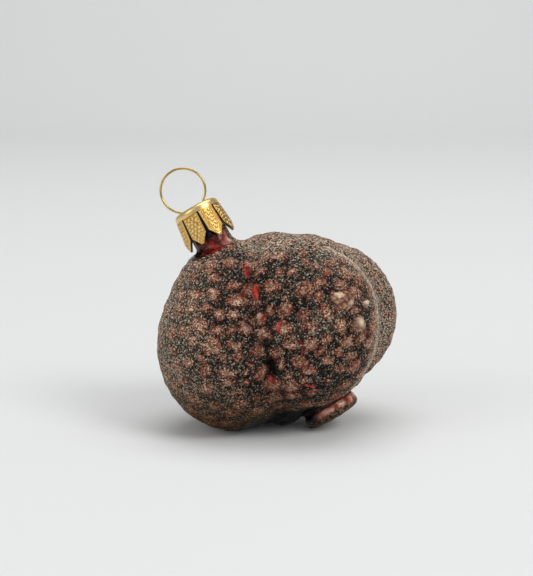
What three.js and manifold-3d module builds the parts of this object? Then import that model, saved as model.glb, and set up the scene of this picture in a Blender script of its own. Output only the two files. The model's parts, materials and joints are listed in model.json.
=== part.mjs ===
// A hanging ornament in the shape of a truffle, lying on its side on a small flat spot.
// Three pieces: a hollow blown-glass truffle with an open neck, a stamped crown cap that sits over the
// neck, and a spring-wire hanger whose two legs pass through the cap and press apart inside the neck.
// Units are millimetres. +Z is up, +X runs from the cap end to the foot end, and +Y is the back.

import * as THREE from "three";
import { mergeVertices } from "three/addons/utils/BufferGeometryUtils.js";
import Module from "manifold-3d";

const wasm = await Module();
wasm.setup();

// ---- Driving dimensions -------------------------------------------------------------------------

const GAP = 0.3; // clearance kept where two pieces touch
const ROUND_SIDES = 40; // sides of the neck and foot
const CAP_SIDES = 64;

const WALL = 0.9; // blown glass with its coating
const SKIN_DETAIL = 11; // subdivision of the sphere that the truffle is blown up from
const HEART = new THREE.Vector3(0, 2, 26); // a point inside every lobe
const LOBE_BLEND = 2.2; // how far neighbouring lobes flow into each other
const LOBES = [
  { at: [-11.5, -3, 21.8], half: [19.2, 20, 22] }, // large front lobe on the cap side
  { at: [5.7, -4, 27.5], half: [19.9, 20.5, 22.4] }, // large front lobe on the foot side
  { at: [11.8, 8.5, 27.1], half: [18.9, 15, 19] }, // rim that shows behind the foot-side lobe
  { at: [-0.5, 8, 27.5], half: [19, 16.5, 21.2] }, // back of the cap side
  { at: [-10.8, 0, 32.4], half: [16, 16, 15] }, // shoulder under the neck
  { at: [-2, 6.5, 18.3], half: [17, 15, 18.6] }, // underside between the lobes
  { at: [1, -1, 15.6], half: [13.5, 11, 15.3] }, // and its front, low beside the foot
];

const NECK_TILT = THREE.MathUtils.degToRad(29); // the neck's axis leans this far to -X
const NECK_LEAN = THREE.MathUtils.degToRad(12); // and this far to the back
const NECK_TOP = new THREE.Vector3(-21, 3, 55.3); // centre of the cap's top face
const NECK_RADIUS = 4.8;
const NECK_RIM = 0.3; // rounding of its cut edge
const NECK_STRAIGHT = 9.2; // from its rim down to where it begins to widen
const NECK_FILLET = 4; // it widens into the truffle on an arc of this radius
const NECK_LENGTH = 17; // from its rim down into the hollow of the truffle

const FOOT_TILT = THREE.MathUtils.degToRad(30.5);
const FOOT_CENTRE = new THREE.Vector3(13.4, -2.5, 4.5);
const FOOT_RADIUS = 7.3;
const FOOT_THICKNESS = 3.2;
const FOOT_ROUND = 1.2; // rounding of its lower edge
const FOOT_ROUND_TOP = 0.6; // and of the edge that faces the truffle
const FOOT_DOME = 0.6; // how far its underside bulges
const FOOT_HOLLOW = { at: [0, 0, 0], half: [8.6, 8.6, 4] }; // the truffle stays clear of it, round the foot
const WAIST_RADIUS = 6.7;
const WAIST_LENGTH = 7;

const SHEET = 0.3; // stamped brass sheet of the cap
const CAP_TOP_RADIUS = 5.9;
const CAP_TIP_RADIUS = 6.4;
const CAP_SHOULDER = 1.1; // rounding between top and side
const CAP_HEIGHT = 9.4;
const FLAPS = 8;
const FLAP_TIP = 2.3; // height of each flap's point
const SLIT_TOP = 1.6; // depth below the top face at which the slits end
const SLIT_WIDTH = 0.45;
const SLIT_WIDTH_LOW = 0.9;
const FLAP_TIP_WIDTH = 0.9;

const WIRE_RADIUS = 0.28;
const RING_RADIUS = 5.6; // to the middle of the wire
const RING_TILT = THREE.MathUtils.degToRad(5.5); // the ring is bent over a little to -X
const HOLE_SPREAD = 2.8; // each wire hole's distance from the cap's axis
const HOLE_RADIUS = WIRE_RADIUS + GAP;
const LEG_LENGTH = 8.5; // below the cap's top face

// ---- Solids and geometries ----------------------------------------------------------------------

// A closed three.js geometry as a solid that can be joined and cut.
function solidOf(geometry) {
  const bare = new THREE.BufferGeometry();
  bare.setAttribute("position", geometry.getAttribute("position").clone());
  if (geometry.index) bare.setIndex(geometry.index.clone());
  const merged = mergeVertices(bare, 1e-4);
  return new wasm.Manifold(
    new wasm.Mesh({
      numProp: 3,
      vertProperties: merged.attributes.position.array,
      triVerts: new Uint32Array(merged.index.array),
    }),
  );
}

function geometryOf(solid) {
  const { vertProperties, triVerts } = solid.getMesh();
  const geometry = new THREE.BufferGeometry();
  geometry.setAttribute("position", new THREE.BufferAttribute(vertProperties, 3));
  geometry.setIndex(new THREE.BufferAttribute(triVerts, 1));
  geometry.computeVertexNormals();
  return geometry;
}

// A profile of [radius, height] points, from the axis round to the axis, turned about Z.
function turned(profile, segments) {
  const points = profile.map(([radius, height]) => new THREE.Vector2(radius, height));
  return new THREE.LatheGeometry(points, segments).rotateX(Math.PI / 2);
}

// Points on a quarter circle, as [radius, height] pairs.
function quarter(centreRadius, centreHeight, radius, from, to, steps) {
  return Array.from({ length: steps + 1 }, (_, i) => {
    const angle = from + ((to - from) * i) / steps;
    return [centreRadius + radius * Math.cos(angle), centreHeight + radius * Math.sin(angle)];
  });
}

// ---- Placing of neck, cap and hanger --------------------------------------------------------------

// Everything on the neck's axis is modelled upright with the cap's top face at the origin.
const closure = new THREE.Group();
closure.position.copy(NECK_TOP);
closure.rotation.set(-NECK_LEAN, -NECK_TILT, 0);
closure.updateMatrix();

const footTurn = new THREE.Euler(-NECK_LEAN, -FOOT_TILT, 0);
const footPlace = new THREE.Matrix4().makeRotationFromEuler(footTurn).setPosition(FOOT_CENTRE);
const intoFoot = footPlace.clone().invert();

// ---- Glass truffle --------------------------------------------------------------------------------

function ellipsoidDistance(point, { at, half }) {
  const local = point.clone().sub(new THREE.Vector3(...at));
  const size = new THREE.Vector3(...half);
  const scaled = local.clone().divide(size);
  const reach = scaled.length();
  return (reach * (reach - 1)) / Math.max(scaled.divide(size).length(), 1e-9);
}

function smoothMin(a, b, blend) {
  const overlap = Math.max(blend - Math.abs(a - b), 0) / blend;
  return Math.min(a, b) - (overlap * overlap * blend) / 4;
}

function truffleDistance(point) {
  const lobes = LOBES.map((lobe) => ellipsoidDistance(point, lobe));
  const body = lobes.reduce((a, b) => smoothMin(a, b, LOBE_BLEND));
  const hollow = ellipsoidDistance(point.clone().applyMatrix4(intoFoot), FOOT_HOLLOW);
  return -smoothMin(-body, hollow, LOBE_BLEND);
}

// A sphere blown up until each point lies the given distance under the truffle's surface.
function skin(depth) {
  const geometry = new THREE.IcosahedronGeometry(1, SKIN_DETAIL);
  const place = geometry.getAttribute("position");
  const point = new THREE.Vector3();
  for (let i = 0; i < place.count; i++) {
    const direction = new THREE.Vector3().fromBufferAttribute(place, i).normalize();
    let [near, far] = [1, 80];
    while (far - near > 1e-3) {
      const middle = (near + far) / 2;
      point.copy(HEART).addScaledVector(direction, middle);
      if (truffleDistance(point) < -depth) near = middle;
      else far = middle;
    }
    place.setXYZ(i, ...point.copy(HEART).addScaledVector(direction, near));
  }
  return geometry;
}

function neckSolid() {
  const rim = -SHEET - GAP;
  const fillet = rim - NECK_STRAIGHT;
  return turned(
    [
      [0, rim - NECK_LENGTH],
      [NECK_RADIUS + NECK_FILLET / 2, rim - NECK_LENGTH],
      ...quarter(NECK_RADIUS + NECK_FILLET, fillet, NECK_FILLET, (4 / 3) * Math.PI, Math.PI, 4),
      [NECK_RADIUS, rim - NECK_RIM],
      [NECK_RADIUS - NECK_RIM, rim],
      [0, rim],
    ],
    ROUND_SIDES,
  );
}

function neckBore() {
  const radius = NECK_RADIUS - WALL;
  const bottom = -NECK_LENGTH - WALL;
  return turned([[0, bottom], [radius, bottom], [radius, 0], [0, 0]], ROUND_SIDES);
}

function footSolid() {
  const half = FOOT_THICKNESS / 2;
  const low = quarter(FOOT_RADIUS - FOOT_ROUND, FOOT_ROUND - half, FOOT_ROUND, -Math.PI / 2, 0, 4);
  const high = quarter(FOOT_RADIUS - FOOT_ROUND_TOP, half - FOOT_ROUND_TOP, FOOT_ROUND_TOP, 0, Math.PI / 2, 3);
  return turned(
    [
      [0, -half - FOOT_DOME],
      [0.55 * FOOT_RADIUS, -half - 0.6 * FOOT_DOME],
      ...low,
      ...high,
      [WAIST_RADIUS, half],
      [WAIST_RADIUS, WAIST_LENGTH],
      [0, WAIST_LENGTH],
    ],
    ROUND_SIDES,
  );
}

function glassTruffle() {
  const belowFloor = new THREE.BoxGeometry(100, 100, 10).translate(0, 0, -5); // cuts the flat spots
  return solidOf(skin(0))
    .add(solidOf(neckSolid().applyMatrix4(closure.matrix)))
    .subtract(solidOf(skin(WALL)))
    .add(solidOf(footSolid().applyMatrix4(footPlace)))
    .subtract(solidOf(neckBore().applyMatrix4(closure.matrix)))
    .subtract(solidOf(belowFloor));
}

// ---- Crown cap ------------------------------------------------------------------------------------

// The gap between two flaps: a slit that opens into a notch between their points.
function flapGap(angle) {
  const halfPitch = (Math.PI * CAP_TIP_RADIUS) / FLAPS;
  const right = [
    [SLIT_WIDTH / 2, -SLIT_TOP],
    [SLIT_WIDTH_LOW / 2, FLAP_TIP - CAP_HEIGHT],
    [halfPitch - FLAP_TIP_WIDTH / 2, 0.01 - CAP_HEIGHT],
    [halfPitch - FLAP_TIP_WIDTH / 2, -CAP_HEIGHT - 1],
  ];
  const left = right.map(([x, y]) => [-x, y]).reverse();
  const outline = new THREE.Shape([...right, ...left].map(([x, y]) => new THREE.Vector2(x, y)));
  const radial = new THREE.Vector3(Math.cos(angle), Math.sin(angle), 0);
  const tangent = new THREE.Vector3(-Math.sin(angle), Math.cos(angle), 0);
  const place = new THREE.Matrix4().makeBasis(tangent, new THREE.Vector3(0, 0, 1), radial);
  place.setPosition(radial.multiplyScalar(NECK_RADIUS));
  return new THREE.ExtrudeGeometry(outline, { depth: 3, bevelEnabled: false }).applyMatrix4(place);
}

function crownCap() {
  const shoulderRadius = CAP_TOP_RADIUS - CAP_SHOULDER;
  const outside = quarter(shoulderRadius, -CAP_SHOULDER, CAP_SHOULDER, Math.PI / 2, 0, 5);
  const inside = quarter(shoulderRadius, -CAP_SHOULDER, CAP_SHOULDER - SHEET, 0, Math.PI / 2, 4);
  let cap = solidOf(
    turned(
      [
        [0, -SHEET],
        ...inside.reverse(),
        [CAP_TIP_RADIUS - SHEET, -CAP_HEIGHT],
        [CAP_TIP_RADIUS, -CAP_HEIGHT],
        ...outside.reverse(),
        [0, 0],
      ],
      CAP_SIDES,
    ),
  );
  for (let i = 0; i < FLAPS; i++) {
    cap = cap.subtract(solidOf(flapGap((2 * Math.PI * i) / FLAPS + Math.PI / 2)));
  }
  for (const side of [-1, 1]) {
    const hole = new THREE.CylinderGeometry(HOLE_RADIUS, HOLE_RADIUS, 4, 16);
    hole.rotateX(Math.PI / 2).translate(side * HOLE_SPREAD, 0, 0);
    cap = cap.subtract(solidOf(hole));
  }
  return cap;
}

// ---- Wire hanger ----------------------------------------------------------------------------------

// The round of the hanger above the cap, from one wire hole to the other, bent over by the ring's tilt.
class RingCurve extends THREE.Curve {
  getPoint(t, target = new THREE.Vector3()) {
    const start = Math.asin(HOLE_SPREAD / RING_RADIUS);
    const angle = start + t * 2 * (Math.PI - start);
    const middle = RING_RADIUS * Math.cos(start) + WIRE_RADIUS;
    target.set(-RING_RADIUS * Math.sin(angle), 0, middle - RING_RADIUS * Math.cos(angle));
    return target.applyAxisAngle(new THREE.Vector3(0, 1, 0), -RING_TILT);
  }
}

function hangerWire() {
  const boreReach = NECK_RADIUS - WALL - GAP - WIRE_RADIUS;
  const ring = new RingCurve();
  const corners = (side, end) => [
    new THREE.Vector3(side * boreReach, 0, -LEG_LENGTH),
    new THREE.Vector3(side * HOLE_SPREAD, 0, -LEG_LENGTH / 3),
    ring.getPoint(end),
  ];
  const path = new THREE.CurvePath();
  path.add(new THREE.QuadraticBezierCurve3(...corners(-1, 0)));
  path.add(ring);
  path.add(new THREE.QuadraticBezierCurve3(...corners(1, 1).reverse()));
  const section = new THREE.Shape().absarc(0, 0, WIRE_RADIUS, 0, 2 * Math.PI);
  return new THREE.ExtrudeGeometry(section, {
    steps: 90,
    curveSegments: 4,
    bevelEnabled: false,
    extrudePath: path,
  });
}

// ---- Assembly -------------------------------------------------------------------------------------

const glass = new THREE.Mesh(
  geometryOf(glassTruffle()),
  new THREE.MeshStandardMaterial({ color: 0x5f4a3d, roughness: 0.6, metalness: 0 }),
);
glass.name = "glass_truffle";

const cap = new THREE.Mesh(
  geometryOf(crownCap()),
  new THREE.MeshStandardMaterial({ color: 0xd9b25c, roughness: 0.3, metalness: 1 }),
);
cap.name = "crown_cap";

const hanger = new THREE.Mesh(
  hangerWire(),
  new THREE.MeshStandardMaterial({ color: 0xc9b264, roughness: 0.2, metalness: 1 }),
);
hanger.name = "hanger_wire";

closure.add(cap, hanger);

// The origin is under the middle of the whole ornament, on the surface it lies on.
const ornament = new THREE.Group();
ornament.add(glass, closure);
const box = new THREE.Box3().setFromObject(ornament, true);
const centre = box.getCenter(new THREE.Vector3());
ornament.position.set(-centre.x, -centre.y, -box.min.z);

const part = new THREE.Group();
part.add(ornament);

export default part;
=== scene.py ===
import json
import math
import random

import bpy
import numpy as np
from mathutils import Matrix, Vector, noise

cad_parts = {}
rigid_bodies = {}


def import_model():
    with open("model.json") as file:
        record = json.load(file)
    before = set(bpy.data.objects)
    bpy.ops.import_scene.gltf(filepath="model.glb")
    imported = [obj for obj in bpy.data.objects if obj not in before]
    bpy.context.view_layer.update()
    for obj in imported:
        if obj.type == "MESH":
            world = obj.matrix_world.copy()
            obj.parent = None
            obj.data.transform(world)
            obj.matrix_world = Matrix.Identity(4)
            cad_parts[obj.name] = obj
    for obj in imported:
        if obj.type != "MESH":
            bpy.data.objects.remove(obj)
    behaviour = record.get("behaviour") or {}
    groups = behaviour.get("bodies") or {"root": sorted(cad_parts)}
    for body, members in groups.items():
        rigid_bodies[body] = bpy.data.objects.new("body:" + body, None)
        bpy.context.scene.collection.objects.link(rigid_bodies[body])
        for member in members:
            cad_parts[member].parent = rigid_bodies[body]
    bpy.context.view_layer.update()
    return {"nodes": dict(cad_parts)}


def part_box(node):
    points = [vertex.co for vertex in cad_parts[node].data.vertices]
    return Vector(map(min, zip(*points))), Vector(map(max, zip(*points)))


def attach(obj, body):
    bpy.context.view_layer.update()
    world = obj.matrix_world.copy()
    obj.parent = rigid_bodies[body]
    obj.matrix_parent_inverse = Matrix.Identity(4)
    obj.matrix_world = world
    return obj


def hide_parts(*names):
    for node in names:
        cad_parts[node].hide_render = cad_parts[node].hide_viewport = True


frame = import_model()
mm = 0.001

# ---- Studio ---------------------------------------------------------------------------------------
# A pale sweep, one large soft light over the right shoulder, a weaker one from the left, and a pale room.
# The camera looks slightly down on the ornament from the front.


def srgb(code):
    """A linear colour from an sRGB hex value."""
    channels = [int(code[i : i + 2], 16) / 255 for i in (1, 3, 5)]
    linear = [c / 12.92 if c <= 0.04045 else ((c + 0.055) / 1.055) ** 2.4 for c in channels]
    return (*linear, 1.0)


def new_material(name):
    """An empty material with its Principled shader, which the caller's nodes feed."""
    material = bpy.data.materials.new(name)
    material.use_nodes = True
    return material, material.node_tree.nodes["Principled BSDF"]


def set_inputs(material, node, inputs):
    """Gives a node's inputs plain values, or links them to other nodes' outputs."""
    for name, value in inputs.items():
        if isinstance(value, bpy.types.NodeSocket):
            material.node_tree.links.new(value, node.inputs[name])
        else:
            node.inputs[name].default_value = value


scene = bpy.context.scene
scene.view_settings.view_transform = "Standard"
scene.world = bpy.data.worlds.new("pale_room")
scene.world.use_nodes = True
scene.world.node_tree.nodes["Background"].inputs["Color"].default_value = srgb("#f4f5f7")
scene.world.node_tree.nodes["Background"].inputs["Strength"].default_value = 0.5

CAMERA_TILT = math.radians(10)
CAMERA_DISTANCE = 400 * mm
CAMERA_AIM = Vector((-3.0, 0.1, 35.4)) * mm
camera_back = Vector((0, -math.cos(CAMERA_TILT), math.sin(CAMERA_TILT)))
bpy.ops.object.camera_add(
    location=CAMERA_AIM + camera_back * CAMERA_DISTANCE,
    rotation=(math.pi / 2 - CAMERA_TILT, 0, 0),
)
scene.camera = bpy.context.object
scene.camera.data.lens = 100
scene.camera.data.sensor_width = 36
scene.camera.data.clip_start = 0.01


def soft_light(name, place, size, power):
    """A square light that faces the middle of the ornament."""
    bpy.ops.object.light_add(type="AREA", location=place)
    light = bpy.context.object
    light.name = name
    light.data.size = size
    light.data.energy = power
    light.rotation_euler = (CAMERA_AIM - Vector(place)).to_track_quat("-Z", "Y").to_euler()


soft_light("right_softbox", (0.95, -0.85, 1.15), 0.7, 9.0)
soft_light("left_softbox", (-1.3, -0.9, 0.8), 1.0, 5.0)
soft_light("overhead_softbox", (0.1, 0.2, 1.7), 1.4, 14.0)

# Flat under the ornament, then up behind it in one round bend.
SWEEP_WIDTH = 4.0
SWEEP_BACK = 0.9
SWEEP_BEND = 0.5
bpy.ops.mesh.primitive_plane_add(size=SWEEP_WIDTH, location=(0, SWEEP_BACK - SWEEP_WIDTH / 2, 0))
sweep = bpy.context.object
sweep.name = "paper_sweep"
bpy.ops.object.transform_apply(location=True)
for edge in sweep.data.edges:
    edge.select = all(sweep.data.vertices[v].co.y > SWEEP_BACK - 0.01 for v in edge.vertices)
for face in sweep.data.polygons:
    face.select = False
bpy.ops.object.mode_set(mode="EDIT")
bpy.ops.mesh.select_mode(type="EDGE")
bpy.ops.mesh.spin(steps=24, angle=-math.pi / 2, center=(0, SWEEP_BACK, SWEEP_BEND), axis=(1, 0, 0))
bpy.ops.mesh.extrude_region_move(TRANSFORM_OT_translate={"value": (0, 0, 2)})
bpy.ops.object.mode_set(mode="OBJECT")
bpy.ops.object.shade_smooth()
paper, paper_shader = new_material("matt_white_paper")
set_inputs(paper, paper_shader, {"Base Color": srgb("#dfe0df"), "Roughness": 0.9})
sweep.data.materials.append(paper)

# ---- Glass truffle --------------------------------------------------------------------------------
# One hollow blow of glass, shaped in a mould: lobes parted by clefts, warts over the lobes, a neck for
# the cap and a flared foot. It is lacquered black and copper-red, and all but the neck, the foot and
# some bare spots is dusted with fine glitter.

# The neck and the cap on it share one slanting axis, and the foot slants almost as they do.
NECK_TILT = math.radians(29)
FOOT_TILT = math.radians(30.5)
NECK_LEAN = math.radians(12)
upright = Matrix.Rotation(-NECK_LEAN, 3, "X") @ Matrix.Rotation(-NECK_TILT, 3, "Y")
foot_upright = Matrix.Rotation(-NECK_LEAN, 3, "X") @ Matrix.Rotation(-FOOT_TILT, 3, "Y")


def along_neck(node):
    """A CAD node's vertices, in metres, measured along and across the neck's axis."""
    return np.array([v.co for v in frame["nodes"][node].data.vertices]) @ np.array(upright)


cap_points = along_neck("crown_cap")
low, high = cap_points.min(0), cap_points.max(0)
cap_top = upright @ Vector(((low[0] + high[0]) / 2, (low[1] + high[1]) / 2, high[2]))
FOOT_FROM_CAP = Vector((34.4, -5.5, -50.8)) * mm
foot_centre = cap_top + FOOT_FROM_CAP

SKIN_GRID = 0.39 * mm
NECK_BORE = 3.9 * mm
PLUG_DEPTH = 11.5 * mm


def only_select(piece):
    bpy.ops.object.select_all(action="DESELECT")
    piece.select_set(True)
    bpy.context.view_layer.objects.active = piece


def apply_modifier(piece, kind, **settings):
    """Adds a modifier with its settings and applies it."""
    only_select(piece)
    modifier = piece.modifiers.new(kind.lower(), kind)
    for name, value in settings.items():
        setattr(modifier, name, value)
    bpy.ops.object.modifier_apply(modifier=modifier.name)


truffle = bpy.data.objects.new("lacquered_truffle", frame["nodes"]["glass_truffle"].data.copy())
scene.collection.objects.link(truffle)
truffle.data.materials.clear()
only_select(truffle)
bpy.ops.object.mode_set(mode="EDIT")
bpy.ops.mesh.select_all(action="SELECT")
bpy.ops.mesh.remove_doubles(threshold=0.001 * mm)
bpy.ops.object.mode_set(mode="OBJECT")

# A plug across the neck, below the wire's legs, parts the outside from the hollow.
bpy.ops.object.select_all(action="DESELECT")
bpy.ops.mesh.primitive_cylinder_add(
    vertices=40,
    radius=NECK_BORE + 0.5 * mm,
    depth=2 * mm,
    location=cap_top - upright @ Vector((0, 0, PLUG_DEPTH)),
    rotation=upright.to_euler(),
)
plug = bpy.context.object
truffle.select_set(True)
bpy.context.view_layer.objects.active = truffle
bpy.ops.object.join()
apply_modifier(truffle, "REMESH", mode="VOXEL", voxel_size=SKIN_GRID)

outermost = max(truffle.data.vertices, key=lambda v: v.co.x).index
only_select(truffle)
bpy.ops.object.mode_set(mode="EDIT")
bpy.ops.mesh.select_mode(type="VERT")
bpy.ops.mesh.select_all(action="DESELECT")
bpy.ops.object.mode_set(mode="OBJECT")
truffle.data.vertices[outermost].select = True
bpy.ops.object.mode_set(mode="EDIT")
bpy.ops.mesh.select_linked()
bpy.ops.mesh.select_all(action="INVERT")
bpy.ops.mesh.delete(type="VERT")
bpy.ops.object.mode_set(mode="OBJECT")
apply_modifier(truffle, "SMOOTH", factor=0.5, iterations=14)
bpy.context.view_layer.update()


def skin_points(skin, kind="co"):
    """The skin's vertices, or their normals, as rows of numbers."""
    flat = np.empty(3 * len(skin.data.vertices))
    skin.data.vertices.foreach_get(kind, flat)
    return flat.reshape(-1, 3)


def step(low, high, value):
    """A smooth rise from 0 to 1 between low and high."""
    t = np.clip((value - low) / (high - low), 0, 1)
    return t * t * (3 - 2 * t)


def on_front(x, z):
    """The point of the skin straight behind (x, z) in millimetres, seen from the front."""
    hit, place, _, _ = truffle.ray_cast((x * mm, -100 * mm, z * mm), (0, 1, 0))
    return np.array(place)


# Unseeded, this noise would be different each time the script runs.
noise.seed_set(5)


def waver(points, size, seed):
    """A smooth random vector at each point, from -1 to 1, that changes over the given size."""
    shift = Vector((seed * 17.3, seed * 5.1, seed * 9.7))
    return np.array([noise.noise_vector(Vector(p) / size + shift) for p in points])


def from_segment(points, start, end):
    """Each point's distance from a straight line between two points."""
    along = end - start
    t = np.clip((points - start) @ along / (along @ along), 0, 1)
    return np.linalg.norm(points - start - t[:, None] * along, axis=1)


points, normals = skin_points(truffle), skin_points(truffle, "normal")

# The points moved a little at random, so that what is drawn by distance from them has a ragged edge.
ragged = waver(points, 2.4 * mm, 1)
frayed = waver(points, 0.9 * mm, 5)
wavered = points + 0.9 * mm * ragged + 0.45 * mm * frayed
ruffled = points + 0.3 * mm * ragged + 0.2 * mm * frayed

# The warts of the front, each with its x, z, half width and half height in millimetres. The first three
# are glossy nodules on the foot-side lobe, and the rest follow lobe by lobe, from the middle outwards.
FRONT_WARTS = [
    (15.5, 36.4, 3.3, 2.5), (21.1, 34.4, 1.6, 1.1), (19.3, 29.8, 2.2, 2.3), (6.3, 38.9, 2.4, 1.6),
    (9.3, 37.3, 1.4, 1.2), (6.1, 33.3, 1.7, 1.3), (11.1, 33.5, 1.8, 1.8), (1.3, 34.4, 1.5, 2.0),
    (0.9, 37.1, 1.0, 0.8), (0.7, 29.6, 2.4, 1.7), (7.1, 30.0, 2.2, 1.2), (14.9, 30.0, 1.6, 2.0),
    (11.1, 27.1, 1.6, 1.1), (16.5, 26.2, 2.0, 1.4), (7.4, 25.9, 2.0, 1.5), (9.6, 24.2, 1.3, 1.0),
    (2.8, 26.1, 2.2, 1.5), (14.2, 24.0, 1.4, 1.1), (17.4, 22.3, 1.9, 1.3), (4.8, 21.7, 1.9, 1.6),
    (11.9, 21.9, 1.3, 1.2), (0.5, 20.6, 1.0, 1.6), (7.3, 19.3, 2.0, 1.2), (6.3, 16.4, 1.5, 1.1),
    (2.0, 18.0, 1.1, 1.3), (11.7, 16.5, 1.4, 0.7), (14.8, 19.0, 1.7, 0.9), (7.9, 13.0, 1.7, 0.9),
    (3.4, 11.8, 2.0, 1.3), (-1.4, 14.8, 2.2, 2.0), (2.2, 48.7, 1.9, 1.2), (9.0, 47.8, 1.1, 1.0),
    (5.6, 46.8, 1.4, 0.9), (6.4, 44.7, 1.2, 1.2), (8.9, 43.8, 1.0, 0.9), (12.8, 44.5, 1.7, 1.0),
    (11.6, 42.7, 1.4, 1.1), (16.3, 41.8, 2.2, 1.5), (3.3, 43.0, 1.4, 1.1), (-0.3, 42.2, 1.2, 1.1),
    (-1.8, 39.1, 2.3, 1.9), (-2.3, 34.0, 1.1, 1.6), (-4.8, 31.6, 2.0, 1.8), (-11.8, 43.8, 1.8, 2.0),
    (-15.9, 40.5, 1.7, 0.8), (-10.7, 38.8, 2.1, 1.1), (-15.9, 37.1, 1.9, 1.3), (-9.7, 35.5, 2.6, 1.5),
    (-17.6, 33.7, 1.6, 1.0), (-14.4, 32.5, 1.4, 1.0), (-11.1, 32.8, 1.5, 1.0), (-8.0, 31.7, 0.8, 1.0),
    (-19.5, 29.8, 2.7, 2.0), (-14.5, 29.0, 1.7, 1.2), (-11.7, 29.7, 1.2, 1.0), (-8.1, 29.1, 1.9, 1.5),
    (-20.8, 26.0, 1.6, 1.3), (-16.3, 25.3, 2.6, 2.0), (-10.6, 25.7, 2.0, 0.9), (-13.4, 22.8, 0.8, 1.1),
    (-9.8, 22.8, 1.5, 1.2), (-5.0, 23.8, 2.0, 1.5), (-18.0, 18.7, 1.3, 2.0), (-22.2, 20.7, 1.4, 1.2),
    (-12.5, 18.6, 2.6, 1.3), (-7.2, 20.8, 0.8, 0.8), (-4.0, 18.5, 1.7, 1.6), (-8.2, 18.9, 0.7, 0.8),
    (-8.0, 16.2, 1.0, 0.9), (-12.2, 16.0, 2.0, 0.9), (-10.8, 13.4, 2.6, 0.7), (-5.4, 11.6, 1.2, 1.3),
    (-9.2, 10.3, 1.9, 1.7), (-24.3, 35.7, 1.6, 1.1), (-3.4, 45.7, 1.8, 1.8), (-6.9, 45.7, 1.5, 1.6),
    (24.7, 38.4, 1.2, 1.3), (26.1, 35.1, 1.2, 1.4), (27.2, 29.2, 1.0, 1.3), (21.7, 43.2, 1.1, 0.8),
]
GLOSSY_WARTS = 3
WART_SPACING = 4.1 * mm
ROW_STRETCH = 1.3

# The rest of the skin is filled with warts at random, in rows a little closer than their spacing.
draw = random.Random(4)
warts = [(on_front(x, z), width * mm, height * mm) for x, z, width, height in FRONT_WARTS]
taken = [place * (1, 1, ROW_STRETCH) for place, _, _ in warts]
for index in draw.sample(range(len(points)), 9000):
    candidate = points[index] * (1, 1, ROW_STRETCH)
    if np.linalg.norm(np.array(taken) - candidate, axis=1).min() > WART_SPACING:
        half_width = draw.uniform(1.5, 2.5) * mm
        warts.append((points[index], half_width, half_width * draw.uniform(0.6, 0.85)))
        taken.append(candidate)

# Each point's own wart and the next nearest one, with distances as shares of the warts' half sizes.
own = np.zeros(len(points), int)
first = np.full(len(points), 99.0)
second = np.full(len(points), 99.0)
for index, (place, half_width, half_height) in enumerate(warts):
    away = (wavered - place) / (half_width, half_width, half_height)
    share = np.linalg.norm(away, axis=1)
    nearer = share < first
    second = np.where(nearer, first, np.minimum(second, share))
    first = np.where(nearer, share, first)
    own[nearer] = index

# A wart spreads until it meets its neighbour at a thin furrow, and its dome rises from edge to middle.
wart = step(1.5, 0.55, first) * step(0, 0.32, second - first)
dome = step(1.25, 0.1, first)

# Where the neck and the foot are: distance along their axes and from them.
from_cap = (points - np.array(cap_top)) @ np.array(upright)
from_foot = (points - np.array(foot_centre)) @ np.array(foot_upright)
neck_reach = np.linalg.norm(from_cap[:, :2], axis=1)
foot_reach = np.linalg.norm(from_foot[:, :2], axis=1)
fray = 0.7 * mm * waver(points, 1.6 * mm, 2)[:, 0]
on_neck = step(-13.4 * mm, -12.2 * mm, from_cap[:, 2] + fray) * step(9 * mm, 7.5 * mm, neck_reach)
on_foot = step(2.6 * mm, 1.8 * mm, from_foot[:, 2] + 0.4 * fray) * step(8.6 * mm, 8.0 * mm, foot_reach)
plain = np.clip(on_neck + on_foot, 0, 1)

# The creases between lobes, found where the skin lies deeper than a smoothed copy of it.
rounder = truffle.copy()
rounder.data = truffle.data.copy()
scene.collection.objects.link(rounder)
apply_modifier(rounder, "SMOOTH", factor=0.5, iterations=100)
deeper = ((skin_points(rounder) - points) * normals).sum(axis=1)
smooth_normals = skin_points(rounder, "normal")
bpy.data.objects.remove(rounder)
crease = step(0, 0.08 * mm, deeper) * (1 - plain)

# The sharp brow along the outer edge of the foot-side lobe, in front of the crease behind it.
BROW = [
    (12.0, 47.4), (15.6, 45.6), (18.7, 43.2), (21.1, 40.4), (22.9, 37.3), (24.0, 34.0), (24.5, 30.5),
    (24.5, 27.0), (24.2, 23.8), (23.4, 20.7), (22.0, 17.7), (20.1, 14.8), (18.2, 12.6),
]
BROW_WIDTH = 1.15 * mm
FURROW_WIDTH = 0.7 * mm
from_brow = np.full(len(points), 1.0)
behind_brow = np.zeros(len(points))
for (x, z), (next_x, next_z) in zip(BROW, BROW[1:]):
    for share in np.arange(0, 1, 0.1):
        place = on_front(x + share * (next_x - x), z + share * (next_z - z))
        away = np.linalg.norm(points - place, axis=1)
        nearer = away < from_brow
        from_brow[nearer] = away[nearer]
        behind_brow[nearer] = (points[:, 1] - place[1])[nearer]
brow = np.exp(-(((from_brow + 0.2 * mm * ragged[:, 0]) / BROW_WIDTH) ** 2))
brow *= step(1.3 * mm, 0.4 * mm, behind_brow)
behind = step(0.2 * mm, 1.0 * mm, behind_brow) * np.exp(-(((from_brow - 1.8 * mm) / FURROW_WIDTH) ** 2))
behind *= step(-0.3, 0.3, ragged[:, 2])

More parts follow.
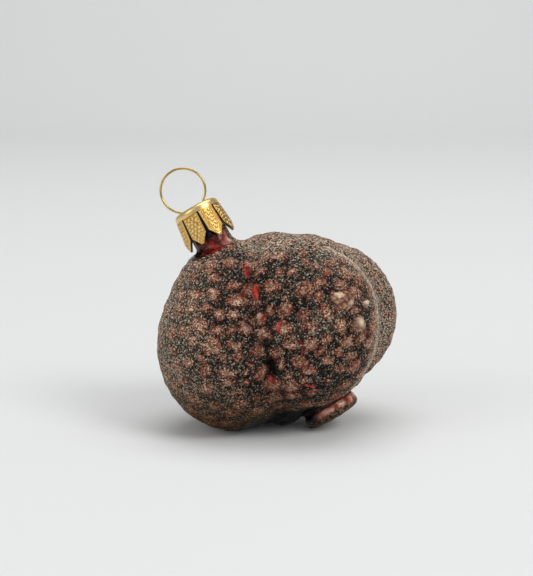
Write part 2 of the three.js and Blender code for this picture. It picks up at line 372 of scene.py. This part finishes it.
# The cleft between the two front lobes, as a chain of points, and the deep pit in it.
CLEFT = [
    (-9.0, 43.6), (-8.4, 40.4), (-4.8, 37.0), (-3.4, 34.6), (-2.4, 31.0), (-3.0, 27.6), (-2.9, 25.0),
    (-2.1, 21.6), (-1.6, 18.6), (-0.2, 16.6),
]
cleft_line = [on_front(x, z) for x, z in CLEFT]
from_cleft = np.min(
    [from_segment(wavered, start, end) for start, end in zip(cleft_line, cleft_line[1:])], axis=0
)
cleft = np.exp(-((from_cleft / (1.0 * mm)) ** 2)) * (1 - 0.9 * wart)
pit = np.exp(-((from_segment(points, on_front(-2.2, 20.8), on_front(-1.7, 18.4)) / (0.95 * mm)) ** 2))
pinhole = np.exp(-((np.linalg.norm(points - on_front(1.7, 24.5), axis=1) / (0.4 * mm)) ** 2))

# Spots where the glitter never stuck or has worn off, and the copper-red lacquer shows glossy.
BARE_STREAKS = [
    ((-7.9, 43.1), (-7.5, 41.2), 0.85),
    ((-7.2, 39.5), (-4.9, 39.2), 0.45),
    ((-6.9, 38.3), (-5.1, 38.1), 0.45),
    ((-6.2, 37.9), (-5.6, 36.4), 0.8),
    ((-3.3, 32.9), (-3.9, 31.6), 0.5),
    ((-1.5, 22.2), (-0.7, 20.8), 0.4),
    ((-2.2, 16.9), (-1.1, 15.9), 0.55),
    ((-0.2, 13.9), (0.3, 12.4), 0.4),
    ((4.3, 26.5), (5.9, 26.3), 0.4),
    ((6.0, 25.4), (5.6, 24.0), 0.4),
    ((0.2, 31.0), (-0.6, 28.6), 0.45),
    ((6.6, 15.2), (8.6, 14.6), 0.45),
    ((-6.2, 24.4), (-5.4, 23.9), 0.4),
]
streak = np.max(
    [
        step(width * mm, 0.6 * width * mm, from_segment(ruffled, on_front(*start), on_front(*end)))
        for start, end, width in BARE_STREAKS
    ],
    axis=0,
)

# The nodules are bare of glitter, with cream painted highlights on them: x, z and size in millimetres.
glossy = step(1.05, 0.8, first) * (own < GLOSSY_WARTS)
NODULE_HIGHLIGHTS = [(14.1, 37.4, 0.8), (17.2, 35.0, 0.6), (20.8, 34.8, 0.8), (19.2, 30.4, 0.9)]
nodule_highlight = np.max(
    [
        np.exp(-((np.linalg.norm(ruffled - on_front(x, z), axis=1) / (size * mm)) ** 2))
        for x, z, size in NODULE_HIGHLIGHTS
    ],
    axis=0,
)

# How far the glitter is worn off the warts' tops: well on the front and back, and less on the cap side and
# the underside. Hardly any is worn off along the mould's seam, where the relief is shallow and the skin
# turns edge-on to the front: the thick pale glitter left at the rims is partly wear and partly a painted
# sheen.
wear_and_rim_sheen = step(0.02, 0.55, np.abs(smooth_normals[:, 1])) * (1 - 0.5 * step(-12 * mm, -29 * mm, points[:, 0]))
wear_and_rim_sheen *= 1 - 0.5 * step(22 * mm, 26 * mm, points[:, 0])
wear_and_rim_sheen *= 1 - 0.4 * step(13 * mm, 5 * mm, points[:, 2])
wear_and_rim_sheen *= 1 - 0.35 * step(42 * mm, 47 * mm, points[:, 2] + 0.25 * (points[:, 0] - 5 * mm))
wear_and_rim_sheen = np.clip(wear_and_rim_sheen + 0.3 * waver(points, 9 * mm, 8)[:, 0], 0.08, 1)

# How far the skin is pressed out or in. The coated skin first drops, so that the warts stand about as high
# as the plain glass. All of it fades out near the floor, so that the ornament still rests on its flats.
WART_STEP = 0.1 * mm
WART_RISE = 0.45 * mm
NODULE_RISE = 0.75 * mm
BROW_RISE = 0.3 * mm
CREASE_DEPTH = 0.2 * mm
FURROW_DEPTH = 0.5 * mm
CLEFT_DEPTH = 0.3 * mm
PIT_DEPTH = 1.8 * mm
PINHOLE_DEPTH = 1.2 * mm
COAT_DROP = 0.38 * mm
GRIT_DEPTH = 0.09 * mm
LACQUER_RIPPLE = 0.1 * mm
FLATS_REACH = 0.8 * mm
coated = 1 - plain
relief = (WART_STEP * wart + WART_RISE * dome * wart) * (0.3 + 0.7 * wear_and_rim_sheen) * (1 - brow)
relief += NODULE_RISE * glossy * dome + BROW_RISE * brow
relief -= CREASE_DEPTH * crease + FURROW_DEPTH * behind + CLEFT_DEPTH * cleft
relief -= PIT_DEPTH * pit + PINHOLE_DEPTH * pinhole
relief = (relief - COAT_DROP) * coated
grit = np.random.default_rng(3).uniform(-1, 0, len(points))
relief += GRIT_DEPTH * grit * coated * (1 - streak) * (1 - glossy)
relief += LACQUER_RIPPLE * (waver(points, 1.8 * mm, 6)[:, 1] - 1) * plain
relief *= step(0, FLATS_REACH, points[:, 2])
skin_low, skin_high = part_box("glass_truffle")
shaped = np.clip(points + normals * relief[:, None], np.array(skin_low), np.array(skin_high))
truffle.data.vertices.foreach_set("co", shaped.ravel())
truffle.data.update()


def keep_mask(name, values):
    """Stores a value from 0 to 1 at each vertex, for the lacquer's pattern to read."""
    layer = truffle.data.attributes.new(name, "FLOAT", "POINT")
    layer.data.foreach_set("value", np.clip(values, 0, 1).astype(np.float32))


# The foot is bare lacquer on its upper edge and dusted below, with painted shade at its lower end and
# waist.
foot_bare = on_foot * step(-1.0 * mm, 0.6 * mm, from_foot[:, 2] + 1.2 * fray)
foot_shade = on_foot * step(-1 * mm, -5.5 * mm, from_foot[:, 0])
waist = on_foot * step(1.4 * mm, 1.9 * mm, from_foot[:, 2])

# Round the foot and under the front lobes the glitter is left off and the skin is painted black as painted
# shade, but for one red spot above the foot.
red_spot = step(1.5 * mm, 0.9 * mm, np.linalg.norm(ruffled - on_front(14.6, 10.2), axis=1))
round_foot = step(12 * mm, 9 * mm, foot_reach + fray)
round_foot *= step(5.6 * mm, 4.6 * mm, from_foot[:, 2] + 0.5 * fray)
ledge = 3.2 * mm + 0.25 * (points[:, 0] + 9 * mm)
under_front = step(0.6 * mm, -0.4 * mm, points[:, 2] - ledge + fray) * step(-11 * mm, -8 * mm, points[:, 0])
under_front *= step(12 * mm, 8 * mm, points[:, 0]) * step(4 * mm, 1 * mm, points[:, 1])
shaded_recess = np.maximum(round_foot, under_front) * (1 - on_foot)

# The neck is bare but for its far side. It has a copper painted highlight at one place, and painted shade
# at its lower side and where it meets the body.
from_neck_highlight = np.linalg.norm(ruffled - on_front(-12.5, 48.2), axis=1)
neck_highlight = on_neck * np.exp(-((from_neck_highlight / (1.6 * mm)) ** 2))
neck_shade = on_neck * step(-1 * mm, -5 * mm, from_cap[:, 0] + 2 * fray)
neck_shade = np.maximum(neck_shade, on_neck * step(-9.4 * mm, -8.2 * mm, from_cap[:, 2] + fray))
bare_neck = on_neck * step(4.4 * mm, 3.4 * mm, from_cap[:, 0] + fray)

keep_mask("wart", wart * (1 - 0.7 * cleft) * (1 - 0.8 * behind) * (1 - 0.8 * brow) * (1 - on_foot))
keep_mask("brow", brow)
keep_mask("dome", dome)
# A share of darkening that grows towards the bottom.
keep_mask("darker_low_down", step(20 * mm, 2 * mm, points[:, 2]))
keep_mask("bare", np.maximum.reduce([bare_neck, foot_bare, streak, red_spot, glossy, waist, shaded_recess]))
keep_mask("gloss", np.maximum.reduce([0.4 * bare_neck, foot_bare, 0.3 * streak, glossy, 0.3 * waist]))
# The red lacquer gives way to painted shade on the neck's lower side, at the foot's lower end and round the
# foot, but for the red spot.
red = np.maximum.reduce([streak, 0.5 * on_neck, 0.5 * foot_bare, red_spot])
keep_mask("red", red * (1 - neck_shade) * (1 - foot_shade) * (1 - shaded_recess * (1 - red_spot)))
# Painted shade: the cleft, the creases, the furrow behind the brow, the pit, the pinhole, the skin round
# the foot and under the front lobes, and the foot's waist are darkened towards black.
hollow = np.maximum.reduce([0.6 * cleft, 0.3 * crease, 0.7 * behind, pit, pinhole, shaded_recess, 0.9 * waist])
keep_mask("hollow", hollow * (1 - streak) * (1 - red_spot))
# Copper: the foot's bare lacquer, and on the neck a painted highlight.
keep_mask("copper", np.maximum(foot_bare * (1 - waist) * (1 - foot_shade), 0.9 * neck_highlight))
keep_mask("nodule", glossy)
keep_mask("nodule_highlight", nodule_highlight * glossy)
keep_mask("wear_and_rim_sheen", np.maximum(wear_and_rim_sheen * (1 - 0.9 * brow), cleft))

only_select(truffle)
bpy.ops.object.shade_smooth()


def add(material, kind, inputs=None, **settings):
    """Adds a node with its settings, and sets or links its inputs."""
    node = material.node_tree.nodes.new(kind)
    for name, value in settings.items():
        setattr(node, name, value)
    set_inputs(material, node, inputs or {})
    return node


# Lacquered glass under glitter. The lacquer is glossy, black, and copper-red on the warts; the hollows are
# painted near black as painted shade. The glitter is crushed glass in tan and grey, whose grains lie at all
# angles: matt from afar, with single grains that catch the light. It lies thick and pale where it was never
# worn, which at the rims is a painted sheen, and thin over warts and furrows. A grain is drawn about as
# coarse as it has to be to show.
GRAIN = 0.28 * mm
GRAIN_TILT = 0.9
lacquer, lacquer_shader = new_material("glittered_lacquer_on_blown_glass")
skin_place = add(lacquer, "ShaderNodeTexCoord").outputs["Object"]


def mask(name):
    return add(lacquer, "ShaderNodeAttribute", attribute_name=name).outputs["Fac"]


def mixed(fac, first, second, mode="MIX"):
    """One colour over another."""
    return add(
        lacquer,
        "ShaderNodeMix",
        {0: fac, 6: first, 7: second},
        data_type="RGBA",
        blend_type=mode,
    ).outputs[2]


def maths(operation, first, second=0.0, clamp=False):
    return add(
        lacquer, "ShaderNodeMath", {0: first, 1: second}, operation=operation, use_clamp=clamp
    ).outputs[0]


def vector_maths(operation, first, second):
    return add(
        lacquer, "ShaderNodeVectorMath", {0: first, 1: second}, operation=operation
    ).outputs["Vector"]


def ramp(fac, stops):
    """A colour ramp with (place, hex) stops."""
    node = add(lacquer, "ShaderNodeValToRGB", {"Fac": fac})
    elements = node.color_ramp.elements
    while len(elements) < len(stops):
        elements.new(0.5)
    for element, (where, code) in zip(elements, stops):
        element.position = where
        element.color = srgb(code)
    return node.outputs["Color"]


def patches(size, detail=3.0):
    """Uneven patches of the given size, from 0 to 1."""
    return add(
        lacquer, "ShaderNodeTexNoise", {"Vector": skin_place, "Scale": 1 / size, "Detail": detail}
    ).outputs["Fac"]


grains = add(
    lacquer, "ShaderNodeTexVoronoi", {"Vector": skin_place, "Scale": 1 / GRAIN, "Randomness": 1.0}
)
chance = add(lacquer, "ShaderNodeSeparateColor", {"Color": grains.outputs["Color"]}).outputs
wart_mask, red_mask, hollow_shade_mask = mask("wart"), mask("red"), mask("hollow")
bare_mask = maths("ADD", mask("bare"), maths("MULTIPLY", maths("SUBTRACT", chance[2], 0.5), 0.9))
bare_mask = maths("MULTIPLY", maths("SUBTRACT", bare_mask, 0.35), 3.3, clamp=True)

in_furrow = ramp(
    chance[0], [(0.0, "#010101"), (0.5, "#080807"), (0.75, "#28261f"), (0.92, "#696358"), (1.0, "#a39a89")]
)
on_wart = ramp(chance[0], [(0.0, "#32180f"), (0.25, "#7c4e3b"), (0.7, "#b08168"), (1.0, "#f2d3b8")])
shaded_wart_edge = ramp(chance[0], [(0.0, "#180704"), (0.35, "#602b1d"), (0.8, "#86523d"), (1.0, "#b8957b")])
thick = ramp(chance[0], [(0.0, "#060403"), (0.3, "#3c3328"), (0.65, "#8f7a66"), (1.0, "#fbe8ce")])
thick = mixed(maths("MULTIPLY", wart_mask, 0.4), thick, on_wart)
uneven = maths("MULTIPLY", maths("SUBTRACT", patches(1.1 * mm), 0.5), 2.0)
strewn = maths("MULTIPLY", maths("SUBTRACT", chance[1], 0.5), 0.7)
patch = maths("ADD", maths("ADD", wart_mask, uneven), strewn)
patch = maths("MULTIPLY", maths("SUBTRACT", patch, 0.17), 1.7, clamp=True)
ruddy = maths("MULTIPLY", maths("SUBTRACT", patches(2.6 * mm, 2.0), 0.3), 3.0, clamp=True)
# Painted shade and highlight on the warts: each is darker and redder towards its edge, the darkening being
# painted shade, and in pale patches its crown is painted cream as a painted highlight.
dome_mask = mask("dome")
wart_look = mixed(maths("MULTIPLY", ruddy, dome_mask, clamp=True), shaded_wart_edge, on_wart)
crown_highlight = maths("MULTIPLY", maths("SUBTRACT", dome_mask, 0.6), 1.6, clamp=True)
pale_areas = maths("MULTIPLY", maths("SUBTRACT", patches(6 * mm, 1.0), 0.42), 4.0, clamp=True)
crown_highlight = maths("MULTIPLY", crown_highlight, pale_areas)
wart_look = mixed(crown_highlight, wart_look, mixed(0.45, wart_look, srgb("#e8ccb2")))
scarlet = maths("MULTIPLY", maths("SUBTRACT", patches(3.1 * mm, 1.5), 0.58), 6.0, clamp=True)
scarlet = maths("MULTIPLY", scarlet, maths("SUBTRACT", 1.0, dome_mask))
wart_look = mixed(scarlet, wart_look, mixed(0.75, wart_look, srgb("#9c3320")))
# Where the glitter is little worn it lies thick and pale, and at the rims this paleness is a painted sheen;
# elsewhere the warts and furrows show through.
glitter = mixed(mask("wear_and_rim_sheen"), thick, mixed(patch, in_furrow, wart_look))
# A painted highlight: the brow is painted paler along its ridge.
glitter = mixed(maths("MULTIPLY", mask("brow"), 0.36), glitter, srgb("#e6ccb5"))
# Painted shade: the glitter turns near black in the hollows.
glitter = mixed(hollow_shade_mask, glitter, srgb("#060504"))
# The glitter is darker towards the bottom.
glitter = mixed(mask("darker_low_down"), glitter, mixed(1.0, glitter, srgb("#a89778"), "MULTIPLY"))
red_paint = ramp(patches(1.6 * mm), [(0.3, "#240504"), (0.48, "#7a160d"), (0.68, "#cf4a33")])
copper_paint = ramp(patches(2.2 * mm), [(0.3, "#5e2418"), (0.48, "#a85c45"), (0.66, "#e6b29c")])
nodule_paint = ramp(patches(0.8 * mm), [(0.35, "#3f2116"), (0.5, "#764a34"), (0.64, "#b58a68")])
lacquer_colour = mixed(red_mask, srgb("#0b0706"), red_paint)
lacquer_colour = mixed(mask("copper"), lacquer_colour, copper_paint)
lacquer_colour = mixed(mask("nodule"), lacquer_colour, nodule_paint)
# Cream painted highlights on the nodules.
lacquer_colour = mixed(mask("nodule_highlight"), lacquer_colour, srgb("#dcc8a6"))
# Painted shade: the lacquer too turns near black in the hollows.
lacquer_colour = mixed(hollow_shade_mask, lacquer_colour, srgb("#050404"))
colour = mixed(bare_mask, glitter, lacquer_colour)

roughness = mixed(
    bare_mask,
    add(lacquer, "ShaderNodeMapRange", {"Value": chance[1], "To Min": 0.35, "To Max": 0.9}).outputs[0],
    (0.25, 0.25, 0.25, 1.0),
)
on_grains = maths("SUBTRACT", 1.0, bare_mask)
tilt = vector_maths("SUBTRACT", grains.outputs["Color"], (0.5, 0.5, 0.5))
tilt = add(
    lacquer,
    "ShaderNodeVectorMath",
    {0: tilt, 3: maths("MULTIPLY", on_grains, GRAIN_TILT)},
    operation="SCALE",
).outputs["Vector"]
facing = vector_maths("ADD", add(lacquer, "ShaderNodeNewGeometry").outputs["Normal"], tilt)
facing = add(lacquer, "ShaderNodeVectorMath", {0: facing}, operation="NORMALIZE").outputs["Vector"]
set_inputs(
    lacquer,
    lacquer_shader,
    {
        "Base Color": colour,
        "Roughness": roughness,
        "Normal": facing,
        "IOR": 1.5,
        "Specular IOR Level": 0.12,
        "Coat Weight": maths("MULTIPLY", mask("gloss"), 0.6),
        "Coat Roughness": 0.06,
    },
)
truffle.data.materials.append(lacquer)
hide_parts("glass_truffle")
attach(truffle, "root")

# ---- Crown cap ------------------------------------------------------------------------------------
# Stamped from thin brass sheet, embossed while flat with dots inside borders of ribs or beads, drawn into
# a cup, and slit into eight pointed flaps that grip the neck. Two holes in its top take the wire.
SHEET = 0.25 * mm
TOP_RADIUS = 5.9 * mm
TIP_RADIUS = 6.4 * mm
SHOULDER = 1.1 * mm
CAP_HEIGHT = 9.4 * mm
COLLAR = 1.7 * mm
FLAPS = 8
FLAP_POINT = 2.3 * mm
POINT_SLOPE = math.radians(45)
TIP_FLAT = 0.16
SLIT = 0.42 * mm
SLIT_LOW = 0.95 * mm
ACROSS_FLAP = 36
DOWN_FLAP = 62
DOT_PITCH = 1.02 * mm
DOT_ROWS = 0.9 * mm
DOT_RISE = 0.24 * mm
DOT_RADIUS = 0.29 * mm
DOT_SHAKE = 0.22 * mm
RIBS = ((0.3 * mm, 0.17 * mm), (0.78 * mm, 0.14 * mm))
RIB_WIDTH = 0.12 * mm
RIBBED_BORDER = 1.05 * mm
BEAD_PITCH = 0.8 * mm
BEAD_PLACE = 0.55 * mm
BEAD_SIZE = 0.2 * mm
BEADED_BORDER = 0.85 * mm
LIP_PLACE = 0.15 * mm
LIP_RISE = 0.07 * mm
LIP_WIDTH = 0.1 * mm
BRIGHT_RISE = 0.17 * mm
PLAIN_SHINE = 0.7
HOLE_SPREAD = 2.8 * mm
WIRE_RADIUS = 0.28 * mm


def flap_width(depth):
    """A flap's width at a depth below the cap's top."""
    down = max(depth - COLLAR, 0) / (CAP_HEIGHT - COLLAR)
    radius = TOP_RADIUS + (TIP_RADIUS - TOP_RADIUS) * down
    return 2 * math.pi * radius / FLAPS - SLIT - (SLIT_LOW - SLIT) * down


def ridge(distance, rise, width):
    """A rounded ridge's height at a distance from its middle."""
    return rise * math.exp(-((distance / width) ** 2))


def embossing(across, depth, length, width, flap):
    """How far the sheet is pressed out at a place on a flap. Ribbed and beaded flaps take turns."""
    from_side = width / 2 - abs(across)
    from_end = (length - depth) * math.cos(POINT_SLOPE)
    edge = min(from_side, from_end)
    along = depth if from_side < from_end else across / math.cos(POINT_SLOPE)
    if depth < COLLAR + 0.2 * mm:
        return 0.0
    if flap % 2 == 0:
        rise = sum(ridge(edge - rib, rib_rise, RIB_WIDTH) for rib, rib_rise in RIBS)
        inside = edge - RIBBED_BORDER
    else:
        beads = 0.5 + 0.5 * math.cos(2 * math.pi * along / BEAD_PITCH)
        rise = ridge(edge - LIP_PLACE, LIP_RISE, LIP_WIDTH)
        rise += ridge(edge - BEAD_PLACE, BEAD_SIZE * beads, BEAD_SIZE)
        inside = edge - BEADED_BORDER
    if inside > 0 and depth > COLLAR + 0.5 * mm:
        row = round(depth / DOT_ROWS)
        column = round(across / DOT_PITCH - 0.5 * (row % 2)) + 0.5 * (row % 2)
        shake = noise.noise_vector(Vector((row * 3.1, column * 5.3, flap * 7.7))) * DOT_SHAKE
        gap = math.hypot(across - column * DOT_PITCH - shake.x, depth - row * DOT_ROWS - shake.y)
        rise += ridge(gap, DOT_RISE + 0.5 * shake.z, DOT_RADIUS)
    return rise


sway = random.Random(11)
bends = [sway.uniform(-0.1, 0.35) * mm for _ in range(FLAPS)]
twists = [sway.uniform(-1, 1) for _ in range(FLAPS)]
cap_places, cap_faces, cap_rises = [], [], []

# The sheet's rings of points: over the flat top, round the shoulder and down the collar.
rings = []
for radius in (0.8, 1.8, 2.8, 3.4, 4.0, 4.5):
    rings.append((radius * mm, 0.0))
for turn in range(9):
    angle = math.radians(90 - 11.25 * turn)
    rings.append(
        (
            TOP_RADIUS - SHOULDER + SHOULDER * math.cos(angle),
            -SHOULDER + SHOULDER * math.sin(angle),
        )
    )
for drop in (1.3, 1.5, 1.7):
    rings.append((TOP_RADIUS, -drop * mm))
columns = FLAPS * (ACROSS_FLAP + 1)


def column_angle(column, depth):
    """The angle of a column of the sheet at a depth, the slits' own columns among them."""
    flap, step_in = divmod(column, ACROSS_FLAP + 1)
    down = max(depth - COLLAR, 0) / (CAP_HEIGHT - COLLAR)
    radius = TOP_RADIUS + (TIP_RADIUS - TOP_RADIUS) * down
    across = (step_in / ACROSS_FLAP - 0.5) * flap_width(depth)
    middle = 2 * math.pi * (flap + 0.5) / FLAPS + math.pi / 2
    return middle + across / radius, across


cap_places.append(Vector((0, 0, 0)))
for radius, height in rings:
    for column in range(columns):
        angle, _ = column_angle(column, 0)
        cap_places.append(Vector((radius * math.cos(angle), radius * math.sin(angle), height)))
for column in range(columns):
    cap_faces.append((0, 1 + column, 1 + (column + 1) % columns))
for ring in range(len(rings) - 1):
    for column in range(columns):
        a = 1 + ring * columns + column
        b = 1 + ring * columns + (column + 1) % columns
        cap_faces.append((a, a + columns, b + columns, b))
last_ring = 1 + (len(rings) - 1) * columns
for flap in range(FLAPS):
    above = [last_ring + flap * (ACROSS_FLAP + 1) + i for i in range(ACROSS_FLAP + 1)]
    for row in range(1, DOWN_FLAP + 1):
        below = []
        for i in range(ACROSS_FLAP + 1):
            share = abs(i / ACROSS_FLAP - 0.5) * 2
            length = CAP_HEIGHT - FLAP_POINT * max(share - TIP_FLAT, 0) / (1 - TIP_FLAT)
            depth = COLLAR + (length - COLLAR) * row / DOWN_FLAP
            angle, across = column_angle(flap * (ACROSS_FLAP + 1) + i, depth)
            down = (depth - COLLAR) / (CAP_HEIGHT - COLLAR)
            radius = TOP_RADIUS + (TIP_RADIUS - TOP_RADIUS) * down
            flat = radius * (1 - math.cos(across / radius)) - 0.12 * mm
            radius += 0.5 * down * flat
            radius += bends[flap] * down**1.6 + 0.12 * mm * twists[flap] * down * across / (2 * mm)
            rise = embossing(across, depth, length, flap_width(depth), flap)
            radius += rise
            below.append(len(cap_places))
            cap_rises.append((len(cap_places), rise / BRIGHT_RISE))
            cap_places.append(Vector((radius * math.cos(angle), radius * math.sin(angle), -depth)))
        for i in range(ACROSS_FLAP):
            cap_faces.append((above[i], below[i], below[i + 1], above[i + 1]))
        above = below

cap_sheet = bpy.data.meshes.new("embossed_cap")
cap_sheet.from_pydata([cap_top + upright @ p for p in cap_places], [], cap_faces)
# Painted highlight and shade: the higher the sheet is pressed out on a flap, the lighter its brass; the
# plain top and collar are mostly light.
emboss_highlight = cap_sheet.attributes.new("emboss_highlight", "FLOAT", "POINT")
emboss_highlight.data.foreach_set("value", np.full(len(cap_places), PLAIN_SHINE, np.float32))
for index, rise in cap_rises:
    emboss_highlight.data[index].value = min(rise, 1)
cap = bpy.data.objects.new("embossed_cap", cap_sheet)
scene.collection.objects.link(cap)
only_select(cap)
bpy.ops.object.mode_set(mode="EDIT")
bpy.ops.mesh.select_all(action="SELECT")
bpy.ops.mesh.normals_make_consistent(inside=False)
bpy.ops.object.mode_set(mode="OBJECT")
apply_modifier(cap, "SOLIDIFY", thickness=SHEET, offset=-1)
for side in (-1, 1):
    bpy.ops.object.select_all(action="DESELECT")
    bpy.ops.mesh.primitive_cylinder_add(
        vertices=24,
        radius=WIRE_RADIUS + 0.2 * mm,
        depth=2 * mm,
        location=cap_top + upright @ Vector((side * HOLE_SPREAD, 0, 0)),
        rotation=upright.to_euler(),
    )
    punch = bpy.context.object
    apply_modifier(cap, "BOOLEAN", operation="DIFFERENCE", object=punch, solver="EXACT")
    bpy.data.objects.remove(punch)
only_select(cap)
bpy.ops.object.shade_smooth_by_angle(angle=math.radians(50))

# Gold-coloured brass, painted lighter where the dies pressed it out, as a painted highlight, and darker in
# the hollows, as painted shade, with uneven tarnish over it.
brass, brass_shader = new_material("stamped_gold_brass")
brass_place = add(brass, "ShaderNodeTexCoord").outputs["Object"]
tarnish = add(
    brass, "ShaderNodeTexNoise", {"Vector": brass_place, "Scale": 1 / (1.5 * mm), "Detail": 3.0}
).outputs["Fac"]
highlit_brass = add(
    brass,
    "ShaderNodeMix",
    {0: tarnish, 6: srgb("#f4d083"), 7: srgb("#ffe9b4")},
    data_type="RGBA",
).outputs[2]
emboss_highlight_mask = add(brass, "ShaderNodeAttribute", attribute_name="emboss_highlight").outputs["Fac"]
brass_colour = add(
    brass,
    "ShaderNodeMix",
    {0: emboss_highlight_mask, 6: srgb("#b98c3c"), 7: highlit_brass},
    data_type="RGBA",
).outputs[2]
brass_roughness = add(
    brass, "ShaderNodeMapRange", {"Value": tarnish, "To Min": 0.24, "To Max": 0.4}
).outputs[0]
set_inputs(
    brass,
    brass_shader,
    {"Base Color": brass_colour, "Metallic": 1.0, "Roughness": brass_roughness},
)
cap.data.materials.append(brass)
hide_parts("crown_cap")
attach(cap, "root")

# ---- Wire hanger ----------------------------------------------------------------------------------
# One length of brass spring wire, wound to a ring that stands over the cap, its two legs pushed down
# through the cap's holes, where they spring apart inside the neck.
RING_RADIUS = 5.58 * mm
RING_TILT = math.radians(5.5)
LEG_LENGTH = 8.5 * mm
LEG_REACH = 3.2 * mm
WIRE_STEPS = 96
LEG_STEPS = 14


def ring_point(share):
    """A point on the ring, from one hole at 0 round to the other at 1."""
    start = math.asin(HOLE_SPREAD / RING_RADIUS)
    angle = start + share * 2 * (math.pi - start)
    middle = RING_RADIUS * math.cos(start) + WIRE_RADIUS
    place = Vector((-RING_RADIUS * math.sin(angle), 0, middle - RING_RADIUS * math.cos(angle)))
    return Matrix.Rotation(-RING_TILT, 3, "Y") @ place


def leg_point(side, share):
    """A point on a leg, from its end in the neck at 0 up to the ring at 1."""
    end = Vector((side * LEG_REACH, 0, -LEG_LENGTH))
    bend = Vector((side * HOLE_SPREAD, 0, -LEG_LENGTH / 3))
    top = ring_point(0 if side < 0 else 1)
    return end * (1 - share) ** 2 + bend * 2 * share * (1 - share) + top * share**2


route = [leg_point(-1, i / LEG_STEPS) for i in range(LEG_STEPS)]
route += [ring_point(i / WIRE_STEPS) for i in range(WIRE_STEPS)]
route += [leg_point(1, 1 - i / LEG_STEPS) for i in range(LEG_STEPS + 1)]
wire_path = bpy.data.curves.new("wire_ring", "CURVE")
wire_path.dimensions = "3D"
wire_path.bevel_depth = WIRE_RADIUS
wire_path.bevel_resolution = 4
wire_path.use_fill_caps = True
spline = wire_path.splines.new("POLY")
spline.points.add(len(route) - 1)
for point, place in zip(spline.points, route):
    point.co = (*(cap_top + upright @ place), 1)
hanger = bpy.data.objects.new("wire_ring", wire_path)
scene.collection.objects.link(hanger)
only_select(hanger)
bpy.ops.object.convert(target="MESH")
bpy.ops.object.shade_smooth()

wire, wire_shader = new_material("drawn_brass_wire")
wire_place = add(wire, "ShaderNodeTexCoord").outputs["Object"]
wire_noise = add(
    wire, "ShaderNodeTexNoise", {"Vector": wire_place, "Scale": 1 / (2.5 * mm), "Detail": 2.0}
).outputs["Fac"]
wire_colour = add(
    wire,
    "ShaderNodeMix",
    {0: wire_noise, 6: srgb("#a98f45"), 7: srgb("#d0b76a")},
    data_type="RGBA",
).outputs[2]
set_inputs(wire, wire_shader, {"Base Color": wire_colour, "Metallic": 1.0, "Roughness": 0.16})
hanger.data.materials.append(wire)
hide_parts("hanger_wire")
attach(hanger, "root")
